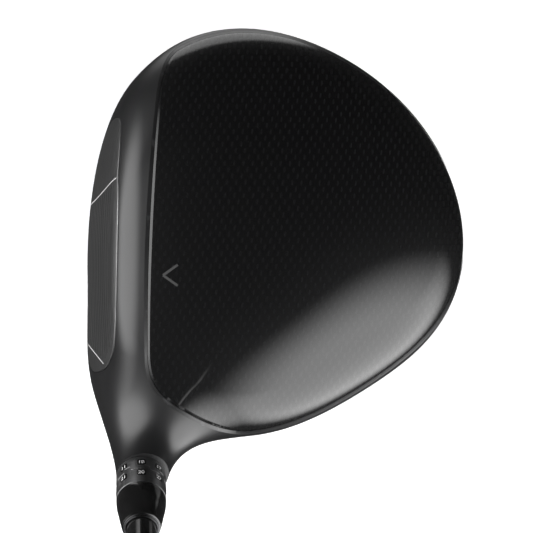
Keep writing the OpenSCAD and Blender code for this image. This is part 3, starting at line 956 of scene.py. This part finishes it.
def dial_marks():
    """Plain numbers round the ring and the sleeve's flange, each on a black pad."""
    pads, numbers = [], []
    for k in range(COGS):
        angle = math.pi / 2 + 2 * math.pi * k / COGS
        for level, text in ((RING_TOP - 2.9, str(10 + k)), (RING_TOP + 1.9, str(20 + k))):
            pads.append(pad(angle, level, 2.6, 2.5))
            numbers.append(numeral(text, angle, level, 1.9))
    finish_piece(shade(joined("dial_pads", pads)), "shaft_assembly", "sleeve_metal", material=BLACK_PAD)
    finish_piece(joined("dial_numbers", numbers), "shaft_assembly", "mark_paint")


def ferrule():
    wide, narrow = HOSEL_R, 5.62
    length = FERRULE_TOP - 1.2 - FLANGE_TOP
    core = TIP_R + 0.12
    profile = [(core, FLANGE_TOP), (wide - 0.25, FLANGE_TOP), (wide - 0.1, FLANGE_TOP + 0.12)]
    for s in np.linspace(0.03, 1.0, 18):
        swell = 0.1 * math.sin(math.pi * min(2 * s, 1))
        profile.append((wide - 0.05 + swell - (wide - narrow) * s ** 1.35, FLANGE_TOP + s * length))
    top = FLANGE_TOP + length
    profile += [(narrow - 0.12, top + 0.25), (narrow - 0.4, top + 0.42), (core, top + 0.42)]
    finish_piece(shade(revolve("ferrule_body", profile)), "shaft_assembly", "ferrule_plastic", "ferrule")
    rings = []
    for wide_r, level in ((5.15, top + 0.55), (4.85, top + 0.95)):
        turns = np.linspace(0, 2 * np.pi, 13)[:-1]
        tube = [(wide_r - 0.16 + 0.2 * math.cos(a), level + 0.2 * math.sin(a)) for a in turns]
        rings.append(revolve("trim", tube))
    finish_piece(shade(joined("ferrule_rings", rings), 60), "shaft_assembly", "trim_metal", "ferrule_trim")


def shaft_r(t):
    return np.interp(t, [TAPER_START, TAPER_END], [TIP_R, BUTT_R])


def shaft():
    tip = 36.3
    end = CLUB_LENGTH - CAP_H - 1
    levels = [tip, tip + 0.4] + list(np.linspace(TAPER_START, TAPER_END, 60)) + [end]
    outer = [(TIP_R - 0.3, tip)] + [(float(shaft_r(t)), t) for t in levels[1:]]
    inner = [(6.8, end), (6.8, TAPER_END), (2.5, TAPER_START), (2.5, tip)]
    made = revolve("shaft_tube", outer + inner)
    return finish_piece(shade(made), "shaft_assembly", "shaft_graphite", "shaft")


def grip_base_r(t):
    top = CLUB_LENGTH - CAP_H
    at = [GRIP_START, GRIP_START + 1.5, GRIP_START + 60, top - 70, top - 6, top - 2, top]
    return np.interp(t, at, [8.7, 9.6, 10.2, 12.2, 13.4, 14.1, 14.1])


def grip():
    """Rubber grip with moulded rows of short slots between plain bands."""
    around = 144
    angle = 2 * np.pi * np.arange(around) / around
    top = CLUB_LENGTH - CAP_H
    mouth = np.linspace(GRIP_START, GRIP_START + 2, 6)
    length = np.arange(GRIP_START + 2.8, top - 0.4, 0.9)
    levels = np.concatenate([mouth, length, [top]])
    rows = []
    for t in levels:
        band = np.sin((t - GRIP_START) * 2 * np.pi / 44)
        row = int((t - GRIP_START) / 3.6)
        in_row = ((t - GRIP_START) / 3.6) % 1
        slot = np.clip(np.sin(in_row * np.pi) * 2.2 - 1.0, 0, 1)
        stagger = np.clip(np.cos(18 * angle + row * np.pi) * 2.4 - 0.6, 0, 1)
        patterned = 1.0 if abs(band) > 0.32 and GRIP_START + 12 < t < top - 14 else 0.0
        ring_groove = 0.3 if 0.20 < abs(band) < 0.27 else 0.0
        rows.append((grip_base_r(t) - 0.42 * slot * stagger * patterned - ring_groove, t))
    core = [(BUTT_R + 0.25, top), (BUTT_R + 0.25, TAPER_END), (float(shaft_r(GRIP_START)) + 0.25, GRIP_START)]
    made = revolve("grip_sleeve", rows + core, around)
    return finish_piece(shade(made, 50), "shaft_assembly", "grip_rubber", "grip")


def grip_cap():
    base = CLUB_LENGTH - CAP_H
    wide = 14.1
    profile = [(1.5, base - 0.9), (7.7, base - 0.9), (7.77, base)]
    profile += [(wide, base + 0.02), (wide + 0.05, base + 1.2)]
    for a in np.linspace(0, np.pi / 2, 9):
        profile.append((wide - 3.0 + 3.0 * math.cos(a), base + 2.0 + 2.9 * math.sin(a)))
    profile += [(9.4, CLUB_LENGTH), (9.0, CLUB_LENGTH - 0.35), (8.2, CLUB_LENGTH - 0.35), (7.8, CLUB_LENGTH)]
    profile += [(2.2, CLUB_LENGTH), (1.5, CLUB_LENGTH - 0.4)]
    made = shade(revolve("grip_cap", profile), 40)
    return finish_piece(made, "shaft_assembly", "grip_rubber", "grip_end_cap")


def weight(name, place, radius, body, node):
    """Sole weight with a chamfered rim, a groove in its outer face and a counterbore for the screw's head."""
    rim, deep, hole, head = -0.5, 7.1, 2.0, 3.3
    profile = [
        (hole, deep), (radius - 0.4, deep), (radius, deep - 0.4),
        (radius, -rim + 0.35), (radius - 0.35, -rim),
        (radius - 1.3, -rim), (radius - 1.45, -rim + 0.25),
        (radius - 1.8, -rim + 0.25), (radius - 1.95, -rim),
        (head + 0.25, -rim), (head, -rim + 0.25), (head, -rim + 2.1), (hole, -rim + 2.1),
    ]
    made = revolve(name, [(r, -t) for r, t in profile], 96, place)
    return finish_piece(shade(made, 24), body, "weight_metal", node)


def paint_frame():
    """Better materials on the CAD pieces that keep their shape."""
    kept = {
        "hosel_tube": "tube_titanium", "screw_retainer": "screw_steel", "screw_washer": "screw_steel",
        "hosel_screw": "screw_steel", "tip_weight": "brass", "grip_tape": "tape",
        "rear_weight_port": "tube_titanium", "rear_weight_screw": "screw_steel",
        "front_weight_port": "tube_titanium", "front_weight_screw": "screw_steel",
    }
    for node, slot in kept.items():
        data = NODES[node].data
        data.materials.clear()
        data.materials.append(FINISH[slot])


# ---------- Stage ----------


def floor():
    size = 9.0
    mesh = bpy.data.meshes.new("floor")
    corners = [(-size, -size, 0), (size, -size, 0), (size, size, 0), (-size, size, 0)]
    mesh.from_pydata(corners, [], [(0, 1, 2, 3)])
    obj = bpy.data.objects.new("floor", mesh)
    bpy.context.scene.collection.objects.link(obj)
    obj.location.z = CAD_LOW.z - 0.0004
    obj.visible_glossy = False
    p = Paint("pale_floor", (0.9, 0.9, 0.9), 0.8)
    p.color(p.blend(p.noise(6.0, 3.0), (0.88, 0.88, 0.88), (0.92, 0.92, 0.92)))
    p.shader.inputs["Emission Color"].default_value = (1, 1, 1, 1)
    p.shader.inputs["Emission Strength"].default_value = 0.5
    obj.data.materials.append(p.material)


def toward(azimuth, from_zenith):
    a, z = math.radians(azimuth), math.radians(from_zenith)
    return (math.cos(a) * math.sin(z), math.sin(a) * math.sin(z), math.cos(z))


def studio():
    """Dark above, with large soft lights round the sides and a weak one low down.

    Each light has a brightness, an azimuth, an angle from above, a radius and a softness.
    """
    lobes = [
        (4.3, -50.0, 79.0, 39.0, 11.0),
        (4.0, 180.0, 68.0, 36.0, 10.0),
        (1.2, 95.0, 127.0, 21.0, 4.0),
    ]
    world = bpy.data.worlds.new("studio")
    bpy.context.scene.world = world
    world.use_nodes = True
    tree = world.node_tree
    tree.nodes.clear()
    look = tree.nodes.new("ShaderNodeTexCoord").outputs["Generated"]

    def step(kind, inputs, **settings):
        made = tree.nodes.new(kind)
        for key, value in settings.items():
            setattr(made, key, value)
        for key, value in inputs.items():
            if isinstance(value, bpy.types.NodeSocket):
                tree.links.new(value, made.inputs[key])
            else:
                made.inputs[key].default_value = value
        return made
    total = 0.03
    for power, azimuth, tilt, radius, soft in lobes:
        dot = step("ShaderNodeVectorMath", {0: look, 1: toward(azimuth, tilt)}, operation="DOT_PRODUCT")
        ranges = {
            "Value": dot.outputs["Value"],
            "From Min": math.cos(math.radians(radius + soft)),
            "From Max": math.cos(math.radians(radius - soft)),
            "To Min": 0.0,
            "To Max": power,
        }
        lobe = step("ShaderNodeMapRange", ranges, interpolation_type="SMOOTHSTEP").outputs["Result"]
        total = step("ShaderNodeMath", {0: lobe, 1: total}, operation="ADD").outputs[0]
    seen = step("ShaderNodeLightPath", {}).outputs["Is Camera Ray"]
    shown = step("ShaderNodeMix", {0: seen, 2: total, 3: 0.9}, data_type="FLOAT").outputs[0]
    light = step("ShaderNodeBackground", {"Color": (1, 1, 1, 1), "Strength": shown})
    out = step("ShaderNodeOutputWorld", {"Surface": light.outputs[0]})
    bpy.context.scene.view_settings.view_transform = "Standard"
    return out


def soft_light(name, place, target, size, power):
    data = bpy.data.lights.new(name, "AREA")
    data.shape = "DISK"
    data.size = size
    data.energy = power
    obj = bpy.data.objects.new(name, data)
    bpy.context.scene.collection.objects.link(obj)
    obj.location = place
    obj.rotation_mode = "QUATERNION"
    obj.rotation_quaternion = (Vector(target) - Vector(place)).to_track_quat("-Z", "Y")
    obj.visible_glossy = False
    return obj


def camera():
    """Looks down on the crown, leaning a little to the face side."""
    target = np.array([0.0376, 0.0305, 0.030])
    lean = math.radians(3.3)
    distance = 0.690
    back = np.array([-math.sin(lean), 0.0, math.cos(lean)])
    right = np.array([math.cos(lean), 0.0, math.sin(lean)])
    up = np.cross(back, right)
    data = bpy.data.cameras.new("camera")
    data.sensor_width = 36.0
    data.lens = 36.0 * 2300 / 533
    data.clip_start = 0.01
    data.clip_end = 50.0
    obj = bpy.data.objects.new("camera", data)
    bpy.context.scene.collection.objects.link(obj)
    place = target + back * distance
    obj.matrix_world = Matrix([[*pair, p] for *pair, p in zip(right, up, back, place)] + [[0, 0, 0, 1]])
    bpy.context.scene.camera = obj


camera()
chassis()
crown_panel()
sole_panels()
face_plate()
face_lines()
crown_mark()
cog_ring()
adapter_sleeve()
dial_marks()
ferrule()
shaft()
grip()
grip_cap()
weight("rear_weight_disc", REAR, REAR_R, "rear_weight", "rear_weight")
weight("front_weight_disc", FRONT, FRONT_R, "front_weight", "front_weight")
paint_frame()
floor()
studio()
soft_light("fill_over", (0.3, -0.5, 1.6), (0.04, 0.03, 0.0), 1.2, 6.0)
